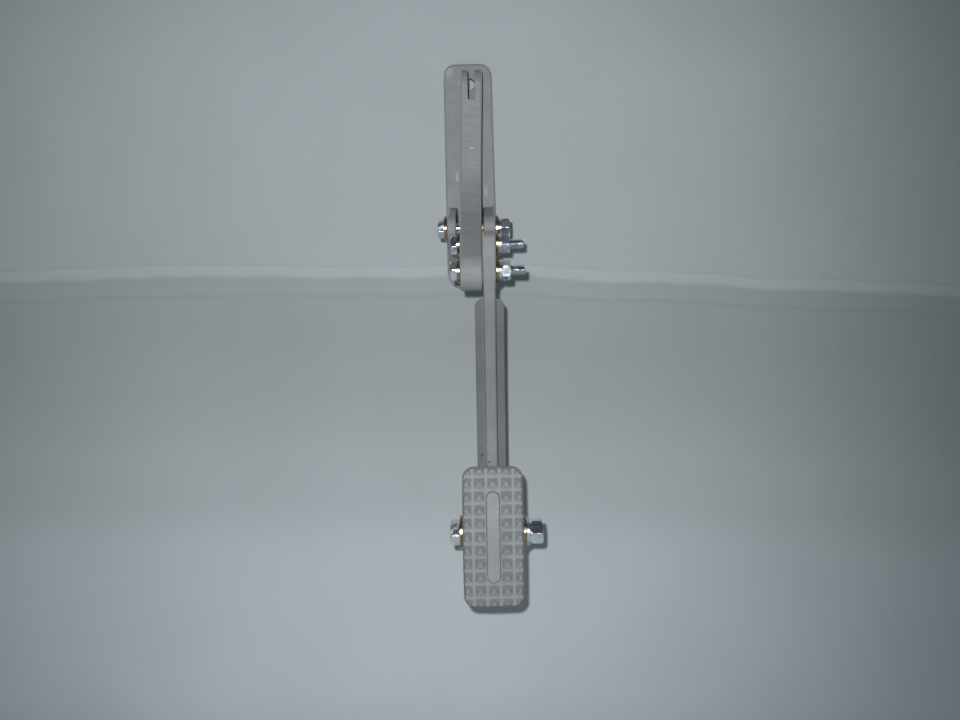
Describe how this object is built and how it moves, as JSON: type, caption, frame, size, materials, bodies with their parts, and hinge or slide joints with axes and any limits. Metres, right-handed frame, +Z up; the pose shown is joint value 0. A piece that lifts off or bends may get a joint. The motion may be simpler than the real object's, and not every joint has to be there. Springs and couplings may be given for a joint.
{
  "type": "throttle pedal assembly",
  "caption": "Suspended cast-aluminium throttle pedal: wall bracket with ears, pivoting lever with slotted tip, side-bolted T-section arm and treaded pad.",
  "frame": {"origin": "middle of the bracket's two mounting holes, on its back face", "axes": "+X to the driver's right along the pivot, +Y forwards into the firewall, +Z up along the bracket plate"},
  "size_m": [0.0632, 0.0894, 0.3394],
  "materials": {
    "cast_aluminium": "as cast, matte grey",
    "clear_zinc": "bright clear zinc",
    "yellow_zinc": "yellow zinc",
    "bronze": "plain bronze"
  },
  "bodies": {
    "bracket": {"bracket": "cast_aluminium", "pivot_bolt": "clear_zinc", "pivot_head_washer": "yellow_zinc", "pivot_flat_washer": "yellow_zinc", "pivot_lock_washer": "clear_zinc", "pivot_nut": "clear_zinc"},
    "pedal": {"throttle_lever": "cast_aluminium", "pedal_arm": "cast_aluminium", "pivot_bushing": "bronze", "arm_upper_bolt": "clear_zinc", "arm_upper_head_washer": "yellow_zinc", "arm_upper_flat_washer": "yellow_zinc", "arm_upper_lock_washer": "clear_zinc", "arm_upper_nut": "clear_zinc", "arm_lower_bolt": "clear_zinc", "arm_lower_head_washer": "yellow_zinc", "arm_lower_flat_washer": "yellow_zinc", "arm_lower_lock_washer": "clear_zinc", "arm_lower_nut": "clear_zinc"},
    "pad": {"pedal_pad": "cast_aluminium", "pad_sleeve": "clear_zinc", "pad_bolt": "clear_zinc", "pad_head_washer": "yellow_zinc", "pad_flat_washer": "yellow_zinc", "pad_lock_washer": "clear_zinc", "pad_nut": "clear_zinc"}
  },
  "joints": [
    {"name": "pedal_pivot", "type": "hinge", "parent": "bracket", "child": "pedal", "pos_m": [0, -0.04, -0.061], "axis": [1, 0, 0], "range_deg": [-1.5, 14]},
    {"name": "pad_pivot", "type": "hinge", "parent": "pedal", "child": "pad", "pos_m": [0.01085, -0.066, -0.251], "axis": [1, 0, 0], "range_deg": [-6, 20]}
  ]
}
